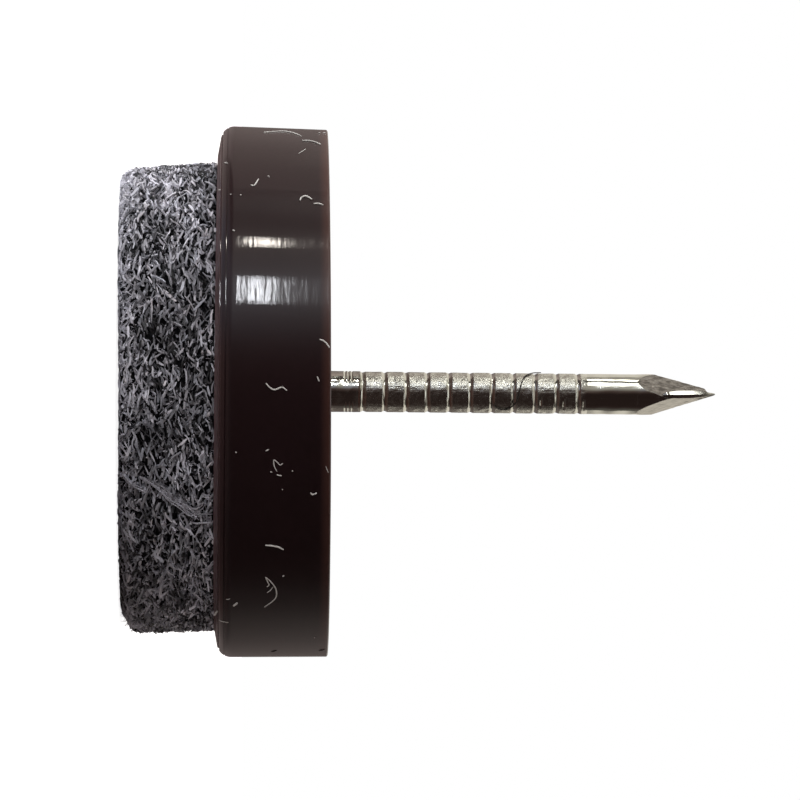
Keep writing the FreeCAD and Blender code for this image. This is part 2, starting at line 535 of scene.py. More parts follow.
def cup_lean(x, z):
    """Drift of the wall towards +X as it goes up, most at its -X and +X sides."""
    lean = CUP_LEAN_AT_LIP + (CUP_LEAN_AT_LEG - CUP_LEAN_AT_LIP) * up_the_cup(z)
    return lean * clip01(np.abs(x) / CUP_RADIUS) ** 2


def lip_drop(x, z):
    """How much lower the tilted lip puts a point of the wall."""
    return CUP_LIP_TILT * (1 - up_the_cup(z)) * x / CUP_RADIUS


def as_moulded(points):
    """Cup points with the wall's lean and with the lip lower at +X."""
    x, z = points[..., 0], points[..., 2]
    return points + np.stack([cup_lean(x, z), 0 * x, -lip_drop(x, z)], axis=-1)


def build_cup(material):
    """Fine mesh of the cup, which holds each point's level in the upright outline."""
    outline = cup_outline()
    upright = turned_points(outline, CUP_SEGMENTS).reshape(-1, 3)
    faces = band_faces(len(outline), CUP_SEGMENTS, closed=True)
    cup = make_piece("cup_shell", as_moulded(upright), faces, material, sharp_deg=12)
    hold_number(cup.data, "level", upright[:, 2])
    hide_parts("base_cup")


# Felt

def felt_radius(z, turn=math.pi):
    """Radius of the felt's side at a height, with its lower edge worn rounder towards +X."""
    taper = math.tan(math.radians(FELT_TAPER_DEG))
    side = FELT_RADIUS + FELT_SWELL - np.clip(LIP_Z - z, 0, None) * taper
    edge_round = FELT_EDGE_ROUND + FELT_EDGE_ROUND_SPREAD * (1 + np.cos(turn))
    flatter = 1 + FELT_EDGE_FLATTENING * ((1 + np.cos(turn)) / 2) ** 2
    into_edge = clip01((edge_round - z) / edge_round)
    return side - edge_round * flatter * (1 - np.sqrt(1 - into_edge ** 2))


def felt_centre_x(z):
    """The pad was stuck on leaning, so its centre drifts towards +X at the floor."""
    share = clip01(z / LIP_Z)
    return FELT_CENTRE_X + FELT_LEAN_AT_FLOOR + (FELT_LEAN_AT_LIP - FELT_LEAN_AT_FLOOR) * share


def sagged(points):
    """Felt points let down a little towards -X and +X, where the pad's edge hangs."""
    share = clip01(1 - points[..., 2] / LIP_Z) * clip01(np.abs(points[..., 0]) / FELT_RADIUS)
    return points - FELT_DROP * share[..., None] * np.array([0, 0, 1])


def build_felt_body(material):
    """Body a little inside the felt's outline that the fibres lie on, near black as painted shade in the
    gaps.
    """
    segments, hub_radius, bevel, slack = 240, 0.4, 1.1, 0.35
    edge_heights = np.linspace(0.02, FELT_EDGE_ROUND, 8)
    heights = np.concatenate([edge_heights, np.linspace(0.75, LIP_Z + 0.2, 26)])
    radii = felt_radius(heights) - FELT_BODY_INSET
    floor_radii = np.linspace(hub_radius, radii[0] - bevel, 22)
    top_radius = RECESS_RADIUS - slack
    outline = [(radius, FELT_BODY_FLOOR) for radius in floor_radii]
    outline += list(zip(radii, np.maximum(heights, FELT_BODY_FLOOR)))
    outline += [(top_radius, LIP_Z + 0.5), (top_radius, FELT_TOP_Z), (hub_radius, FELT_TOP_Z)]
    rings = turned_points(outline, segments)
    x, y, z = np.moveaxis(rings, -1, 0)
    rng = np.random.default_rng(11)
    swell = rng.normal(0, 0.03, z.shape)
    for sweep in range(2):
        swell = (swell + np.roll(swell, 1, 1) + np.roll(swell, -1, 1)) / 2
    loose = (z < LIP_Z) & (np.hypot(x, y) > floor_radii[-1])
    edge_wear_and_light = felt_radius(z, np.arctan2(y, x)) - felt_radius(z)
    swell = np.where(loose, np.clip(swell, -0.08, 0.06) + edge_wear_and_light, 0)
    rings[:, :, :2] *= (1 + swell / FELT_RADIUS)[:, :, None]
    rings[:, :, 0] += felt_centre_x(z)
    low_centre = [felt_centre_x(0.0), 0, FELT_BODY_FLOOR]
    high_centre = [felt_centre_x(FELT_TOP_Z), 0, FELT_TOP_Z]
    points = np.vstack([sagged(rings.reshape(-1, 3)), low_centre, high_centre])
    faces = band_faces(len(outline), segments)
    faces += fan_faces(len(points) - 2, 0, segments, upward=False)
    faces += fan_faces(len(points) - 1, (len(outline) - 1) * segments, segments, upward=True)
    felt = make_piece("felt_body", points, faces, material, sharp_deg=60)
    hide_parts("felt_pad")


PALETTE_SIDE = 8
PALETTE_TOP = PALETTE_SIDE ** 2 - 1
FIBRE_SIDES = 3


def palette():
    """Shades that fibres are drawn from, dark to light, all a cool grey."""
    rng = np.random.default_rng(5)
    count = PALETTE_TOP + 1
    darkest, spread, curve = 0.008, 0.78, 1.9
    light = darkest + spread * np.linspace(0, 1, count) ** curve
    warm = rng.normal(0, 0.015, count)
    tint = np.stack([1.0 + warm, 0.975 + 0 * warm, 1.075 - warm], axis=1)
    return clip01(light[:, None] * tint)


def pick_shades(rng, count, light_share, dark_share):
    """Palette numbers for a mix of light, middling and dark fibres."""
    draw = rng.random(count)
    light = rng.uniform(0.72, 1.0, count)
    middle = rng.uniform(0.35, 0.72, count)
    dark = rng.uniform(0.0, 0.3, count)
    chosen = np.where(draw < light_share, light, np.where(draw > 1 - dark_share, dark, middle))
    return np.round(chosen * PALETTE_TOP).astype(int)


def make_fibres(name, paths, radii, ups, shades, material):
    """One piece of many fibre tubes, each in one palette shade, with that shade's cell as its UV."""
    steps = paths.shape[1]
    mesh = make_tubes(name, paths, radii, ups, material, FIBRE_SIDES).data
    hold_colour(mesh, "shade", np.repeat(palette()[shades], steps * FIBRE_SIDES, axis=0))
    cell = 1.0 / PALETTE_SIDE
    corner = np.stack([shades % PALETTE_SIDE, shades // PALETTE_SIDE], axis=1) * cell
    square = np.array([[0.25, 0.25], [0.75, 0.25], [0.75, 0.75], [0.25, 0.75]]) * cell
    uv = corner[:, None, :] + square
    quad_uv = np.repeat(uv, (steps - 1) * FIBRE_SIDES, axis=0).reshape(-1, 2)
    cap_uv = uv[:, :FIBRE_SIDES].reshape(-1, 2)
    layer = mesh.uv_layers.new(name="OFBake")
    layer.data.foreach_set("uv", np.concatenate([quad_uv, cap_uv, cap_uv]).ravel())


def wander(rng, count, steps, heading, curl):
    """Headings along each fibre, which bend a little at every step."""
    turns = rng.normal(0, curl, (count, steps))
    drift = rng.normal(0, curl * 0.5, (count, 1))
    return heading[:, None] + np.cumsum(turns + drift, axis=1)


def side_paths(rng, across, spacing_z, mean_length, lift, inward_share):
    """Fibres of the felt's cut side, one near each place of a loose lattice.

    They lie in level planes: some follow the surface and the others run into the pad from it.
    """
    steps, curl, slant, slant_curl = 5, 0.32, 0.27, 0.14
    deepest, highest = -0.34, 0.17
    places_round = int(2 * math.pi * FELT_RADIUS / across)
    rows = int(LIP_Z / spacing_z)
    lattice = np.meshgrid(np.arange(rows), np.arange(places_round), indexing="ij")
    row, place = (grid.ravel() for grid in lattice)
    count = row.size
    start_z = (row + rng.uniform(0, 1, count)) * LIP_Z / rows
    start_turn = (place + 0.5 * row + rng.uniform(-0.5, 0.5, count)) * 2 * math.pi / places_round
    along_surface = np.abs(rng.normal(0, 0.3, count))
    into_pad = rng.uniform(0.4, 1.4, count)
    dive = np.where(rng.random(count) < inward_share, into_pad, along_surface)
    length = np.clip(rng.lognormal(math.log(mean_length), 0.35, count), 0.25, 1.6)
    step = (length / (steps - 1))[:, None]
    dives = wander(rng, count, steps, dive, curl)
    climbs = wander(rng, count, steps, rng.normal(0, slant, count), slant_curl)
    way = rng.choice([-1.0, 1.0], count)[:, None]
    along = np.cumsum(np.cos(dives) * np.cos(climbs) * step * way, axis=1)
    along -= along.mean(axis=1, keepdims=True)
    z = np.clip(start_z[:, None] + np.cumsum(np.sin(climbs) * step, axis=1), 0.05, LIP_Z + 0.02)
    depth = np.cumsum(np.sin(dives) * step, axis=1)
    depth -= depth.min(axis=1, keepdims=True)
    rise = rng.normal(lift, 0.035, count)[:, None] - depth
    turn = start_turn[:, None] + along / FELT_RADIUS
    radius = felt_radius(z, turn) + np.clip(rise, deepest, highest)
    out = polar(1.0, turn, np.zeros_like(turn))
    paths = out * radius[:, :, None]
    paths[:, :, 0] += felt_centre_x(z)
    paths[:, :, 2] = z
    return sagged(paths), out + np.array([0, 0, 0.35])


def fuzz_paths(rng, count):
    """Loose ends that stand out of the felt's side, most of them at its worn lower edge."""
    steps, worn_share = 5, 0.6
    worn = rng.random(count) < worn_share
    start_z = np.where(worn, rng.uniform(0.03, 0.8, count), rng.uniform(0.3, LIP_Z, count))
    turn = rng.uniform(0, 2 * math.pi, count)
    length = rng.uniform(0.12, 0.32, count)
    step = (length / (steps - 1))[:, None]
    sway = wander(rng, count, steps, rng.normal(0, 0.7, count), 0.35)
    climbs = wander(rng, count, steps, rng.normal(0, 0.5, count), 0.3)
    out_run = np.cumsum(np.cos(sway) * np.cos(climbs) * step, axis=1) - 0.05
    side_run = np.cumsum(np.sin(sway) * step, axis=1)
    z = np.clip(start_z[:, None] + np.cumsum(np.sin(climbs) * step, axis=1), 0.03, LIP_Z + 0.05)
    radius = felt_radius(start_z, turn)[:, None] + np.clip(out_run, -0.1, 0.2)
    turns = turn[:, None] + side_run / FELT_RADIUS
    paths = polar(radius, turns, z)
    paths[:, :, 0] += felt_centre_x(z)
    return sagged(paths), np.array([0, 0, 1.0])


def floor_paths(rng, count):
    """Fibres that lie flat in every direction on the felt's floor face."""
    steps = 6
    length = np.clip(rng.lognormal(math.log(1.1), 0.35, count), 0.4, 2.4)
    angles = wander(rng, count, steps, rng.uniform(0, 2 * math.pi, count), 0.28)
    step = (length / (steps - 1))[:, None]
    reach = (FELT_RADIUS - 0.9) * np.sqrt(rng.random(count))[:, None]
    turn = rng.uniform(0, 2 * math.pi, count)[:, None]
    x = reach * np.cos(turn) + np.cumsum(np.cos(angles) * step, axis=1)
    y = reach * np.sin(turn) + np.cumsum(np.sin(angles) * step, axis=1)
    edge = np.minimum(FELT_RADIUS - 0.45, felt_radius(0.1, np.arctan2(y, x)))
    inside = np.minimum(1, edge / np.maximum(np.hypot(x, y), 0.01))
    z = np.clip(rng.normal(0.075, 0.02, count)[:, None] + 0 * x, 0.045, 0.12)
    paths = np.stack([x * inside + felt_centre_x(0.0), y * inside, z], axis=2)
    return sagged(paths), np.array([0, 0, -1.0])


def thickness(rng, paths, mean):
    """Radius along each fibre, thinner at its two ends."""
    count, steps = paths.shape[:2]
    bow = 0.55 + 0.45 * arch(steps, 0, 0.6)
    return np.clip(rng.normal(mean, mean * 0.2, count), mean * 0.5, None)[:, None] * bow[None, :]


def patchy_shades_painted_edge_light(rng, paths, light_share, dark_share):
    """Palette numbers in soft patches of lighter and darker wool, with painted light making them paler
    towards the lower edge.
    """
    edge_light_height, edge_light_steps, patch_spread = 0.7, 22, 6
    x, y, z = paths.mean(axis=1).T
    # Painted light: fibres are made paler towards the lower edge, for light from that side
    edge_wear_and_light = clip01(1 - z / edge_light_height)
    patch = waves(x + 0.5 * z, y + z, seed=71, count=9, longest=9.0, shortest=1.6)
    shift = np.round(edge_light_steps * edge_wear_and_light + patch_spread * patch).astype(int)
    return np.clip(pick_shades(rng, len(paths), light_share, dark_share) + shift, 0, PALETTE_TOP)


# Layers of fibres on the felt's side: distances round and up between them, length, lift off the side,
# share that runs inwards, radius, and the shares of light and of dark ones
SIDE_LAYERS = {
    # The deep layer has no light fibres and mostly dark ones: painted shade under the others
    "felt_fibres_deep": (0.50, 0.20, 0.80, -0.17, 0.3, 0.040, 0.0, 0.80),
    "felt_fibres_main": (0.34, 0.13, 0.58, 0.10, 0.38, 0.058, 0.58, 0.14),
    "felt_fibres_fine": (0.42, 0.19, 0.62, 0.10, 0.38, 0.032, 0.30, 0.34),
}
FUZZ_COUNT, FUZZ_RADIUS = 3600, 0.010
FLOOR_COUNT, FLOOR_RADIUS = 4000, 0.034


def build_felt_fibres(material):
    """Fibres in layers: deep ones painted dark as shade, the main tangle, finer ones, loose ends, and the
    floor face.
    """
    rng = np.random.default_rng(23)
    for name, (*lay, radius, light_share, dark_share) in SIDE_LAYERS.items():
        paths, ups = side_paths(rng, *lay)
        shades = patchy_shades_painted_edge_light(rng, paths, light_share, dark_share)
        make_fibres(name, paths, thickness(rng, paths, radius), ups, shades, material)
    paths, ups = fuzz_paths(rng, FUZZ_COUNT)
    radii = thickness(rng, paths, FUZZ_RADIUS)
    # The loose ends are drawn mostly light and, like the other layers, get the painted light at the lower
    # edge
    make_fibres("felt_fuzz", paths, radii, ups, patchy_shades_painted_edge_light(rng, paths, 0.9, 0.0), material)
    paths, ups = floor_paths(rng, FLOOR_COUNT)
    shades = pick_shades(rng, len(paths), 0.35, 0.25)
    make_fibres("felt_fibres_floor", paths, thickness(rng, paths, FLOOR_RADIUS), ups, shades, material)


# Pulled strands on the felt's side: how many fibres, and pixels of the photo along them
STRANDS = {
    "left": (6, [(122, 475), (130, 484), (141, 490), (145, 492), (150, 487)]),
    "middle": (9, [(140, 477), (152, 483), (164, 491), (171, 497), (181, 503), (192, 511), (198, 513)]),
    "fork": (5, [(181, 503), (192, 508), (198, 508), (204, 502)]),
    "high": (4, [(158, 483), (164, 489), (172, 495), (182, 500)]),
    "upper_lip": (3, [(208, 468), (209.5, 475.5), (215, 476.5)]),
    "lower_lip": (4, [(202, 494.5), (207, 496), (212.5, 497.5)]),
}
STRAND_RADIUS = 0.025
STRAND_LIFT = 0.06


def smooth_path(points, count):
    """Points evenly along a smooth curve through the given ones."""
    points = np.asarray(points, dtype=float)
    ends = np.vstack([2 * points[0] - points[1], points, 2 * points[-1] - points[-2]])
    places = np.linspace(0, len(points) - 1, count)
    spans = np.minimum(places.astype(int), len(points) - 2)
    t = (places - spans)[:, None]
    before, start, stop, after = (ends[spans + shift] for shift in range(4))
    return 0.5 * (
        2 * start
        + (stop - before) * t
        + (2 * before - 5 * start + 4 * stop - after) * t ** 2
        + (3 * start - before - 3 * stop + after) * t ** 3
    )


def build_strands(material):
    """Bundles of pale fibres that were pulled out of the felt's side."""
    rng = np.random.default_rng(31)
    steps, spread, waver = 12, 0.05, 0.026
    paths = []
    for fibres, pixels in STRANDS.values():
        centre_x = felt_centre_x(on_round(np.mean(pixels, axis=0), FELT_RADIUS)[2])
        line = smooth_path([on_round(pixel, FELT_RADIUS + STRAND_LIFT, centre_x) for pixel in pixels], steps)
        for fibre in range(fibres):
            sway = np.cumsum(rng.normal(0, waver, (steps, 3)), axis=0)
            paths.append(line + rng.normal(0, spread, 3) * arch(steps, 0.1)[:, None] + sway)
    paths = np.array(paths)
    shades = pick_shades(rng, len(paths), 0.9, 0.0)
    radii = thickness(rng, paths, STRAND_RADIUS)
    make_fibres("felt_strands", paths, radii, off_axis(paths), shades, material)


# Nail

def ring_relief(z, turn):
    """Depth of the rolled rings below the land at each height and turn."""
    rng = np.random.default_rng(3)
    depth = np.zeros_like(z)
    for ring in range(RING_COUNT):
        root = FIRST_RING_Z + ring * RING_PITCH
        phases = rng.uniform(0, 2 * math.pi, 3)
        wave = RING_WAVE * np.sin(turn + phases[0]) + RING_RIPPLE * np.sin(3 * turn + phases[1])
        deep = RING_DEPTH * (1 + RING_DEPTH_SPREAD * np.sin(2 * turn + phases[2]))
        from_root = z - root - wave
        taper = clip01(1 + from_root / RING_TAPER)
        shoulder = clip01(1 - from_root / RING_SHOULDER)
        depth = np.maximum(depth, deep * np.where(from_root < 0, taper, shoulder))
    return depth


# Nicks beside the last rings: height, and degrees of their middle and half width below the near side
NICKS = ((19.67, 29, 20), (20.76, 34, 22), (21.71, 34, 24))
NEAR_SIDE_DEG = 270


def nick_relief(z, turn):
    """Depth of the short nicks that the rolling dies left."""
    depth = np.zeros_like(z)
    from_near = np.degrees(np.angle(np.exp(1j * (turn - math.radians(NEAR_SIDE_DEG)))))
    for height, down_deg, spread_deg in NICKS:
        fade = clip01(1 - np.abs(from_near - down_deg) / spread_deg)
        across = clip01(1 - np.abs(z - height) / NICK_HALF_HEIGHT)
        depth = np.maximum(depth, NICK_DEPTH * fade * across)
    return depth


def grip_relief(z, turn):
    """Three shallow marks of the heading dies across two sides of the neck, the upper ones deeper."""
    narrowest, fade = 0.45, 0.2
    depth = np.zeros_like(z)
    bite = np.where(np.cos(turn) < 0, GRIP_MARK_DEPTH, GRIP_MARK_DEPTH * GRIP_MARK_LOWER_SHARE)
    for mark in range(GRIP_MARK_COUNT):
        middle = LEG_Z + GRIP_MARK_HEIGHT + mark * GRIP_MARK_PITCH
        across = clip01(1 - np.abs(z - middle) / (GRIP_MARK_WIDTH / 2))
        on_side = clip01((np.abs(np.cos(turn)) - narrowest) / fade)
        depth = np.maximum(depth, across * bite * on_side)
    return depth


def waves(first, second, seed, count, longest, shortest):
    """Smooth random field of unit spread over two grids of millimetres, as a sum of waves."""
    rng = np.random.default_rng(seed)
    total = np.zeros_like(first)
    for wave in range(count):
        length = longest * (shortest / longest) ** (wave / (count - 1))
        heading, phase = rng.uniform(0, 2 * math.pi, 2)
        along = first * math.cos(heading) + second * math.sin(heading)
        total += np.sin(2 * math.pi * along / length + phase)
    return total / math.sqrt(count / 2)


# Facets of the point: degrees from the camera's side towards the picture's top, distance from the axis
# at the heel, the heel's height, slope towards the axis, and how torn the facet is
PLAIN_SLOPE = SHANK_RADIUS / (TIP_Z - POINT_Z)
FACETS = (
    (40.0, 0.955, 24.30, 0.228, 1.0),
    (115.0, 0.97, POINT_Z, 0.21, 0.5),
    (-65.0, SHANK_RADIUS, POINT_Z, PLAIN_SLOPE, 0.5),
    (-140.0, SHANK_RADIUS, POINT_Z, PLAIN_SLOPE, 0.5),
)

# Steep cut across the upper side of the tip: its slope, and the height and distance where it starts
TIP_CUT_SLOPE, TIP_CUT_Z, TIP_CUT_UP = 0.75, 27.44, 0.36


def point_limit(z, turn):
    """Distance from the axis to the point's facets, and how torn the nearest facet is."""
    far_off, grazing = 1e3, 0.02
    limit = np.full_like(z, far_off)
    torn = np.zeros_like(z)
    cuts = []
    for angle_deg, heel_radius, heel_z, slope, tear in FACETS:
        azimuth = math.radians(NEAR_SIDE_DEG - angle_deg)
        cuts.append((np.cos(turn - azimuth), heel_radius - slope * (z - heel_z), tear))
    cuts.append((-np.cos(turn), TIP_CUT_UP - (z - TIP_CUT_Z) / TIP_CUT_SLOPE, 1.0))
    for toward, distance, tear in cuts:
        distance = np.clip(distance, THINNEST_RADIUS, None)
        reach = np.where(toward > grazing, distance / np.maximum(toward, grazing), far_off)
        torn = np.where(reach < limit, tear, torn)
        limit = np.minimum(limit, reach)
    return limit, torn


# Bead on the near ridge: height, distance towards the camera, distance up the picture, and radius
BURR_POINTS = (
    (25.42, 1.04, 0.0, 0.03), (25.6, 0.972, 0.01, 0.14), (26.05, 0.798, 0.02, 0.205),
    (26.8, 0.508, 0.038, 0.20), (27.4, 0.276, 0.05, 0.137), (27.96, 0.021, 0.05, 0.035),
)
BURR_FLAT_DEG = 25
BURR_SIDES = 6


def burr():
    """Six-sided bead of steel that the cutters squeezed up along the near ridge, out to the tip."""
    steps = 24
    line = smooth_path([(-up, -near, z) for z, near, up, radius in BURR_POINTS], steps)
    heights = [place[0] for place in BURR_POINTS]
    sizes = np.interp(line[:, 2], heights, [place[3] for place in BURR_POINTS])
    flat = math.radians(BURR_FLAT_DEG)
    up = np.array([-math.sin(flat), -math.cos(flat), 0.0])
    return tubes(line[None], sizes[None], up, BURR_SIDES)


def leaning(points):
    """Nail points tilted a little towards +X about the head, as the nail stands in the cup."""
    above_head = np.clip(points[..., 2] - HEAD_SEAT_Z, 0, None)
    return points + above_head[..., None] * math.tan(math.radians(NAIL_LEAN_DEG)) * np.array([1, 0, 0])


def build_nail(material):
    """Nail with rolled rings and a diamond point, as a fine grid of radii about its axis."""
    segments = 168
    ring_start = FIRST_RING_Z - 2 * RING_TAPER
    ring_end = FIRST_RING_Z + (RING_COUNT - 1) * RING_PITCH + 0.45
    marks = (HEAD_SEAT_Z, LEG_Z, ring_start, ring_end, POINT_Z, TIP_Z - 0.02)
    rows_between = (5, 69, RING_COUNT * 30 - 1, 19, 129)
    heights = [np.linspace(*ends, rows + 1)[:-1] for *ends, rows in zip(marks, marks[1:], rows_between)]
    heights = np.concatenate([*heights, marks[-1:]])
    turn = math.radians(RIDGE_TURN_DEG) + np.arange(segments) * 2 * math.pi / segments
    z, turn = np.meshgrid(heights, turn, indexing="ij")
    swell = (SWELL_RADIUS - SHANK_RADIUS) * clip01((LEG_Z - z) / (LEG_Z - HEAD_SEAT_Z))
    base = np.where(z < FIRST_RING_Z - RING_TAPER, SHANK_RADIUS, LAND_RADIUS) + swell
    flare = np.clip(z - POINT_Z, 0, None) * math.tan(math.radians(POINT_FLARE_DEG))
    relief = np.maximum(ring_relief(z, turn), nick_relief(z, turn))
    blank = base + flare - np.maximum(relief, grip_relief(z, turn))
    arc = turn * SHANK_RADIUS
    blank = blank - DENT_DEPTH * np.abs(waves(arc, z, seed=61, count=9, longest=3.0, shortest=0.7))
    limit, torn = point_limit(z, turn)
    torn = np.where(limit < blank, torn, 0.0)
    tear = np.abs(waves(arc, 0.35 * z, seed=67, count=14, longest=0.6, shortest=0.15))
    radius = np.clip(np.minimum(blank, limit) - TEAR_DEPTH * torn * tear, THINNEST_RADIUS, None)
    rolled = clip01((z - ring_start) / 0.1) * clip01((ring_end - z) / 0.25)
    rolled *= 1 - clip01(relief / (0.4 * RING_DEPTH))
    shank = polar(radius, turn, z)
    head = turned_points([
        (HEAD_RADIUS - HEAD_CHAMFER, SEAT_Z),
        (HEAD_RADIUS, SEAT_Z + HEAD_CHAMFER),
        (HEAD_RADIUS, HEAD_SEAT_Z),
    ], segments)
    rings = np.concatenate([head, shank])
    points = np.vstack([rings.reshape(-1, 3), [[0, 0, SEAT_Z], [0, 0, TIP_Z]]])
    faces = band_faces(len(rings), segments)
    faces += fan_faces(len(points) - 2, 0, segments, upward=False)
    faces += fan_faces(len(points) - 1, (len(rings) - 1) * segments, segments, upward=True)
    bead_points, bead_faces = burr()
    faces += [tuple(index + len(points) for index in face) for face in bead_faces]
    before, after = np.zeros(head[..., 0].size), np.zeros(2 + len(bead_points))
    points = leaning(np.vstack([points, bead_points]))
    nail = make_piece("nail_body", points, faces, material, sharp_deg=24)
    for name, values in (("torn", torn), ("rolled", rolled)):
        hold_number(nail.data, name, np.concatenate([before, values.ravel(), after]))
    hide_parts("nail")


# Dust: pixels of the photo along each bit of lint on the cup, with its half width in millimetres
LINT_PIXELS = {
    "long": (0.032, [(264, 132.4), (276, 131.4), (285, 131.4), (293.6, 132.9), (301.4, 136)]),
    "second": (0.036, [(302, 140.5), (309, 140.7), (315, 142), (320.7, 144.4)]),
    "faint": (0.018, [(298.6, 153.6), (302, 151.5), (305.7, 149)]),
    "hook": (0.034, [(250.7, 185), (254.3, 185.3), (257, 181.5), (258.6, 179)]),
    "arc": (0.042, [(300, 200.4), (301.4, 197.6), (305.7, 196), (310, 198), (312, 199.6)]),
    "dash": (0.034, [(313.6, 203.6), (319, 203.6), (323.3, 205)]),
    "curl": (0.036, [(265.8, 383), (268.5, 386.2), (272.3, 389.2), (276, 389.5), (281, 387.3), (283.7, 388),
                     (287, 390.6)]),
    "stub": (0.03, [(317.3, 376.5), (318.2, 379), (319.2, 381.4)]),
    "edge_arc": (0.036, [(319.5, 339.4), (323.3, 340.7), (327, 344), (329.4, 347.8)]),
    "zed": (0.022, [(277, 471.5), (274.2, 466), (273.9, 459.8), (277, 462.2), (280.2, 465.2),
                    (282.8, 463.3)]),
    "bar": (0.03, [(277, 474.8), (279, 475.5), (281.7, 475.9)]),
    "pair_left": (0.036, [(310.6, 493), (312.2, 494.6), (314, 494.2)]),
    "pair_right": (0.036, [(314.6, 494.2), (315.8, 493.6), (316.4, 492.8)]),
    "edge_line": (0.014, [(325.7, 466), (327, 469.5), (328.3, 472.6)]),
    "smear": (0.04, [(265.3, 545.3), (271.4, 545.8), (278.3, 547.1), (283.4, 549.7)]),
    "big_arc": (0.03, [(265.3, 577.2), (268.8, 579.8), (272.2, 583.3), (275.3, 587.6), (276.6, 593),
                       (275.8, 597.6), (272.2, 601.6), (264.5, 607)]),
    "branch_high": (0.026, [(265.5, 577.5), (268, 582.4), (269, 585), (267, 587)]),
    "branch_low": (0.02, [(273.1, 586.7), (270.5, 590.2), (267.1, 592.8)]),
    "lip_curve": (0.026, [(219, 620), (223.1, 621.6), (228.3, 622.5)]),
    "lip_tick": (0.016, [(226.1, 599.2), (228, 599.4), (230, 598.8)]),
    "seed": (0.05, [(233.4, 605.9), (235.2, 604.6), (237.4, 603.2)]),
    "lip_fleck": (0.05, [(214.8, 615.2), (215.8, 613.4), (217, 611.2)]),
}
SPECK_PIXELS = (
    (226, 163), (268.6, 176.4), (230.7, 194.3), (240.7, 195), (220, 190), (319.3, 133), (324.3, 133),
    (233.6, 230.5), (236.1, 452.6), (267.2, 450.4), (292.4, 471), (271.3, 472), (282.4, 489.6),
    (283.4, 576), (314.5, 637.6),
)
PIT_PIXELS = ((274, 651), (321.8, 650))
HAIR_PIXELS = (
    (541, 372.6), (532, 373.2), (525, 376.5), (521, 384), (519, 394), (515.7, 403), (509, 408.5),
    (503.8, 409.7), (497, 408), (493, 404),
)
SPECK_RADIUS, SPECK_HALF_LENGTH = 0.034, 0.05
PIT_RADIUS, PIT_HALF_PIXELS = 0.04, 3
HAIR_RADIUS = 0.034
FAR_LINT_COUNT, FAR_LINT_RADIUS = 16, 0.028


def on_cup(pixel, lift):
    """Point of the cup's outside under a pixel, raised off it."""
    x, y, z = on_round(pixel, CUP_RADIUS)
    return on_round(pixel, cup_outside(z + lip_drop(x, z)) + lift, cup_lean(x, z))


def build_lint(pale, dark):
    """Lint and specks where the photo shows them on the cup, and a few on the sides that it doesn't show."""
    rng = np.random.default_rng(47)
    steps = 16
    paths, sizes = [], []
    for half_width, pixels in LINT_PIXELS.values():
        paths.append(smooth_path([on_cup(pixel, half_width * 0.6) for pixel in pixels], steps))
        sizes.append(half_width * (0.5 + 0.5 * arch(steps, 0.15, 0.5)))
    for pixel in SPECK_PIXELS:
        run = np.linspace(-SPECK_HALF_LENGTH, SPECK_HALF_LENGTH, steps)
        paths.append(on_cup(pixel, 0.02) + np.outer(run, rng.normal(0, 1, 3) * [0.5, 0.2, 1]))
        sizes.append(SPECK_RADIUS * arch(steps, 0.2))
    for bit in range(FAR_LINT_COUNT):
        turn = rng.uniform(0.3, 2.7) + np.cumsum(rng.normal(0.004, 0.003, steps))
        height = rng.uniform(LIP_Z + 0.9, LEG_Z - 0.4) + np.cumsum(rng.normal(0, 0.03, steps))
        height = np.clip(height, LIP_Z + 0.7, LEG_Z - 0.12)
        radius = np.array([cup_outside(z) for z in height]) + 0.015
        paths.append(as_moulded(polar(radius, turn, height)))
        sizes.append(FAR_LINT_RADIUS * arch(steps, 0.2, 0.5))
    paths = np.array(paths)
    make_tubes("cup_lint", paths, np.array(sizes), off_axis(paths), pale)
    pits = []
    for across, down in PIT_PIXELS:
        shifts = np.linspace(-PIT_HALF_PIXELS, PIT_HALF_PIXELS, steps)
        pits.append([on_cup((across + shift, down - shift * 0.25), 0.004) for shift in shifts])
    pits = np.array(pits)
    pit_sizes = np.tile(PIT_RADIUS * arch(steps, 0.2), (len(pits), 1))
    make_tubes("cup_specks", pits, pit_sizes, off_axis(pits), dark)


def build_hair(material):
    """Dark hair that clings round the nail's shank."""
    steps, lift = 40, 0.02
    middle = on_round(np.mean(HAIR_PIXELS, axis=0), SHANK_RADIUS)
    lean_x = leaning(np.array([0, 0, middle[2]]))[0]
    path = smooth_path([on_round(pixel, SHANK_RADIUS + lift, lean_x) for pixel in HAIR_PIXELS], steps)[None]
    sizes = HAIR_RADIUS * arch(steps, 0.25, 0.4)
    make_tubes("nail_hair", path, sizes[None], off_axis(path), material)


# Stage

# Radiance of the surroundings round the horizon: degrees from the camera towards the picture's top
SURROUND_STOPS = (
    (-180, 0.10), (-160, 0.122), (-142, 0.14), (-128, 0.126), (-117, 0.11), (-108, 0.085), (-99, 0.08),
    (-94, 0.075), (-90, 0.04), (-75, 0.02), (0, 0.018), (10, 0.04), (18, 0.09), (27, 0.26), (34, 0.37),
    (42, 0.36), (50, 0.22), (58, 0.11), (66, 0.07), (76, 0.05), (84.0, 0.04), (85.5, 0.065), (96.6, 0.075),
    (97.8, 0.36), (108, 0.37), (120, 0.30), (128, 0.255), (143, 0.235), (160, 0.17), (180, 0.10),
)
SURROUND_TOP = 0.75
SURROUND_RADIUS = 0.9

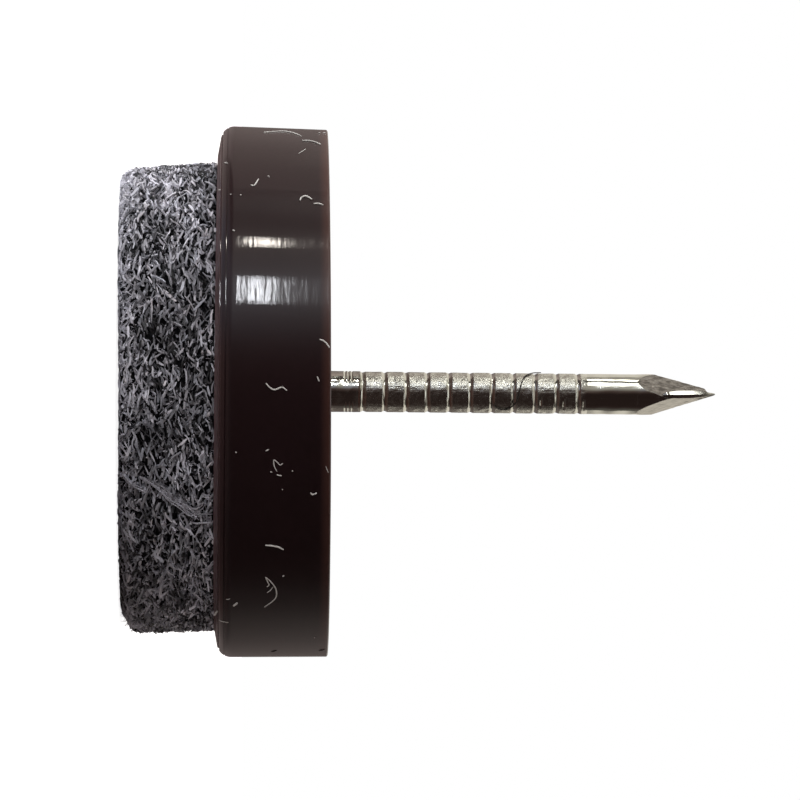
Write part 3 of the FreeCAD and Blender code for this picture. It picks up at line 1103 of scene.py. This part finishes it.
# Tint of that light round the horizon: warm behind, redder on the camera's side and cool beside the lamps,
# and cream instead of warm and cool higher up
WARM_TINT, RED_TINT, COOL_TINT = (1.0, 0.80, 0.75), (1.0, 0.62, 0.57), (0.86, 0.85, 1.0)
CREAM_TINT = (1.0, 0.92, 0.83)
TINT_STOPS = (
    (-180, WARM_TINT), (-95, WARM_TINT), (-80, RED_TINT), (10, RED_TINT), (26, COOL_TINT), (52, COOL_TINT),
    (72, WARM_TINT), (180, WARM_TINT),
)
HIGH_TINT_STOPS = (
    (-180, CREAM_TINT), (-95, CREAM_TINT), (-80, RED_TINT), (10, RED_TINT), (26, CREAM_TINT),
    (180, CREAM_TINT),
)
CREAM_FROM_DEG, CREAM_OVER_DEG = 2.6, 1.2

# The same for the floor close to the object
NEAR_STOPS = (
    (-180, 0.22), (-130, 0.32), (-100, 0.25), (-75, 0.13), (-40, 0.10), (0, 0.22), (30, 0.42), (60, 0.48),
    (120, 0.40), (150, 0.32), (180, 0.22),
)
NEAR_END, FAR_START = 0.0135, 0.028
UNDER_LEVEL = 0.4
STAGE_ANGLES = np.arange(-180, 180, 0.75)
FLOOR_PAPER, FLOOR_IN_GLOSS = (0.8, 0.8, 0.8, 1), (0.03, 0.03, 0.03, 1)
FLOOR_VIEW_LEVEL = 0.9
WHITE = (1, 1, 1, 1)


def glow_round(stops, tint_stops=TINT_STOPS):
    """Colour of the light from each of the stage's angles."""
    stops = np.array(stops)
    level = np.interp(STAGE_ANGLES, stops[:, 0], stops[:, 1])
    angles = [angle for angle, tint in tint_stops]
    channels = zip(*(tint for angle, tint in tint_stops))
    return np.stack([level * np.interp(STAGE_ANGLES, angles, channel) for channel in channels], axis=1)


def stage_rows(rows):
    """Rings of points about the nail's axis for (distance, height) in metres, at the stage's angles."""
    angles = np.radians(STAGE_ANGLES)
    points = []
    for distance, height in rows:
        points += [(-distance * math.sin(angle), -distance * math.cos(angle), height) for angle in angles]
    return points


def stage_mesh(name, points, faces, glow, material):
    """Stage object whose light in reflections is held on its points."""
    mesh = bpy.data.meshes.new(name)
    mesh.from_pydata(points, [], faces)
    mesh.materials.append(material)
    hold_colour(mesh, "glow", glow)
    piece = add_object(name, mesh)
    return piece


def floor_white():
    """Pale paper, white to the eye, that shows the held light in reflections."""
    material, tree, shader = new_material("floor_white")
    path = add(tree, "ShaderNodeLightPath").outputs
    in_gloss = path["Is Glossy Ray"]
    in_view = work_out(tree, "MAXIMUM", path["Is Camera Ray"], path["Is Transmission Ray"])
    set_inputs(tree, shader, {
        "Base Color": blend_colour(tree, in_gloss, FLOOR_PAPER, FLOOR_IN_GLOSS),
        "Roughness": 1.0,
        "Specular IOR Level": 0.0,
    })
    light = add(tree, "ShaderNodeEmission", {
        "Color": blend_colour(tree, in_gloss, WHITE, attribute(tree, "glow", "Color")),
        "Strength": work_out(tree, "MULTIPLY_ADD", in_view, FLOOR_VIEW_LEVEL, in_gloss),
    })
    lit = add(tree, "ShaderNodeAddShader", {0: shader.outputs[0], 1: light.outputs[0]})
    set_inputs(tree, tree.nodes["Material Output"], {"Surface": lit.outputs[0]})
    return material


def build_floor():
    """Floor that takes the object's shadow and fades into the room in reflections."""
    distances = np.array([5, 10, 14, 18, 22, 26, 31, 38, 46, 58, 80, 150, 500, 3000]) * MM
    share = clip01((FAR_START - distances) / (FAR_START - NEAR_END))[:, None, None]
    glow = glow_round(NEAR_STOPS)[None] * share + glow_round(SURROUND_STOPS)[None] * (1 - share)
    glow = np.vstack([glow.reshape(-1, 3), UNDER_LEVEL * np.array(WARM_TINT)])
    height = -FELT_DROP * MM
    points = stage_rows([(distance, height) for distance in distances]) + [(0, 0, height)]
    faces = [tuple(reversed(face)) for face in band_faces(len(distances), len(STAGE_ANGLES))]
    faces += fan_faces(len(points) - 1, 0, len(STAGE_ANGLES), upward=False)
    stage_mesh("floor", points, faces, glow, floor_white())


def surround_glow():
    """Light that is held on the mesh."""
    material, tree, shader = new_material("surround_glow")
    light = add(tree, "ShaderNodeEmission", {"Color": attribute(tree, "glow", "Color"), "Strength": 1.0})
    set_inputs(tree, tree.nodes["Material Output"], {"Surface": light.outputs[0]})
    return material


def build_surround():
    """Dome that is seen in reflections only: a dim room on the camera's side and a graded backdrop behind.

    Between a start and an end elevation, in degrees, its light turns from the horizon's to the top's.
    """
    elevations = np.array([-1, 1.5, 2.5, 3.5, 4.5, 6, 8, 12, 17, 22, 28, 34, 40, 50, 60, 70])
    behind = (STAGE_ANGLES > 116) | (STAGE_ANGLES < -110)
    above = (STAGE_ANGLES > 88) & ~behind
    start = np.where(behind, 2.6, np.where(above, 6, 45))[None, :]
    end = np.where(behind, np.where(STAGE_ANGLES > 0, 5.2, 6.5), np.where(above, 20, 70))[None, :]
    share = clip01((elevations[:, None] - start) / (end - start))
    rise = (share * share * (3 - 2 * share))[:, :, None]
    cream = clip01((elevations - CREAM_FROM_DEG) / CREAM_OVER_DEG)[:, None, None]
    low_glow = glow_round(SURROUND_STOPS)[None]
    high_glow = glow_round(SURROUND_STOPS, HIGH_TINT_STOPS)[None]
    side_glow = low_glow * (1 - cream) + high_glow * cream
    glow = side_glow * (1 - rise) + SURROUND_TOP * np.array(CREAM_TINT) * rise
    rows = [(SURROUND_RADIUS * math.cos(up), SURROUND_RADIUS * math.sin(up)) for up in np.radians(elevations)]
    faces = band_faces(len(elevations), len(STAGE_ANGLES))
    dome = stage_mesh("surround", stage_rows(rows), faces, glow.reshape(-1, 3), surround_glow())
    dome.visible_camera = False


def stand(thing, place, right, up, back):
    """Puts a lamp or camera at a place, looking away from its back."""
    thing.matrix_world = Matrix.Translation(place) @ Matrix((right, up, back)).transposed().to_4x4()


LAMP_AIM = Vector((0, 0, 6.6 * MM))
LAMP_DISTANCE = 0.6


def lamp(name, side_deg, rise_deg, width, height, watts, colour):
    """Area lamp aimed at the cup, at angles from the camera towards the picture's top and above the floor."""
    side, rise = math.radians(side_deg), math.radians(rise_deg)
    flat, up = LAMP_DISTANCE * math.cos(rise), math.sin(rise) * LAMP_DISTANCE
    place = LAMP_AIM + Vector((-math.sin(side) * flat, -math.cos(side) * flat, up))
    data = bpy.data.lights.new(name, "AREA")
    data.shape = "RECTANGLE"
    data.size, data.size_y = width, height
    data.energy = watts
    data.color = colour
    light = add_object(name, data)
    back = (place - LAMP_AIM).normalized()
    across = Vector((0, 0, 1)).cross(back).normalized()
    stand(light, place, across, back.cross(across), back)
    light.visible_camera = False
    return light


# Thin strips that a lamp is made of, so that its glint has ragged ends: degrees up and aside of each
STRIP_PARTS = ((-0.12, 1.0), (-0.04, -0.6), (0.04, 0.5), (0.12, -0.9))
STRIP_HEIGHT = 0.00075

# Lamps: degrees aside and up, then width, height, watts and colour; a strip's watts are for each part
STRIP_LAMPS = {
    "strip_far": (66.5, 2.22, 0.038, STRIP_HEIGHT, 0.009, (1.0, 0.93, 0.84)),
    "strip_near": (43.5, 2.17, 0.117, STRIP_HEIGHT, 0.021, (0.93, 0.95, 1.0)),
}
SEEN_LAMPS = {
    "soft_far": (88.0, 7.3, 0.13, 0.07, 0.08, (1.0, 0.96, 0.90)),
    "soft_near": (59.0, 7.3, 0.25, 0.07, 0.10, (1.0, 0.97, 0.94)),
    "key": (61.6, 43.0, 0.14, 0.36, 0.36, (1.0, 0.98, 0.96)),
}
BROAD_LAMPS = {
    "top": (105.0, 18.0, 0.30, 0.12, 3.05, (0.94, 0.99, 1.0)),
    "fill": (45.0, 8.0, 0.24, 0.12, 0.92, (0.95, 0.98, 1.0)),
}


def build_lamps():
    """Two lamps with glints on the cup, softer ones for the nail, and broad ones that no gloss shows."""
    for part, (up_deg, aside_deg) in enumerate(STRIP_PARTS):
        for name, (side_deg, rise_deg, *rest) in STRIP_LAMPS.items():
            lamp(f"{name}_{part}", side_deg + aside_deg, rise_deg + up_deg, *rest)
    for name, values in SEEN_LAMPS.items():
        lamp(name, *values)
    for name, values in BROAD_LAMPS.items():
        lamp(name, *values).visible_glossy = False


WORLD_TINT = (1.0, 0.74, 0.89, 1)
WORLD_LEVEL = 0.49


def build_world():
    """White to the eye and in reflections, and a plain soft level for the light itself."""
    world = bpy.data.worlds.new("studio")
    bpy.context.scene.world = world
    world.use_nodes = True
    tree = world.node_tree
    path = add(tree, "ShaderNodeLightPath").outputs
    seen = work_out(tree, "MAXIMUM", path["Is Camera Ray"], path["Is Glossy Ray"])
    seen = work_out(tree, "MAXIMUM", seen, path["Is Transmission Ray"])
    set_inputs(tree, tree.nodes["Background"], {
        "Color": blend_colour(tree, seen, WORLD_TINT, WHITE),
        "Strength": remap(tree, seen, 0.0, 1.0, WORLD_LEVEL, 1.0),
    })


def build_camera():
    """Camera at the photo's place."""
    right, up, forward = camera_axes()
    data = bpy.data.cameras.new("camera")
    data.sensor_width = SENSOR_MM
    data.lens = SENSOR_MM / 2 / math.tan(math.radians(CAMERA_HALF_VIEW_DEG))
    data.clip_start, data.clip_end = 0.01, 20.0
    camera = add_object("camera", data)
    stand(camera, CAMERA_PLACE * MM, right, up, -forward)
    bpy.context.scene.camera = camera


build_camera()
build_cup(dress("cup_plastic", cup_plastic))
build_felt_body(dress("felt_ground", felt_ground))
wool = dress("felt_wool", fibre_wool)
build_felt_fibres(wool)
build_strands(wool)
build_nail(dress("nail_steel", nail_steel))
hair = dress("dark_hair", loose_hair, HAIR_BROWNS, 0.5)
build_lint(dress("lint_wool", loose_hair, LINT_GREYS, 0.8), hair)
build_hair(hair)
glue = frame["nodes"]["adhesive_disc"]
glue.data.materials.clear()
glue.data.materials.append(dress("glue_film", glue_film))
build_floor()
build_surround()
build_world()
build_lamps()
bpy.context.scene.view_settings.view_transform = "Standard"
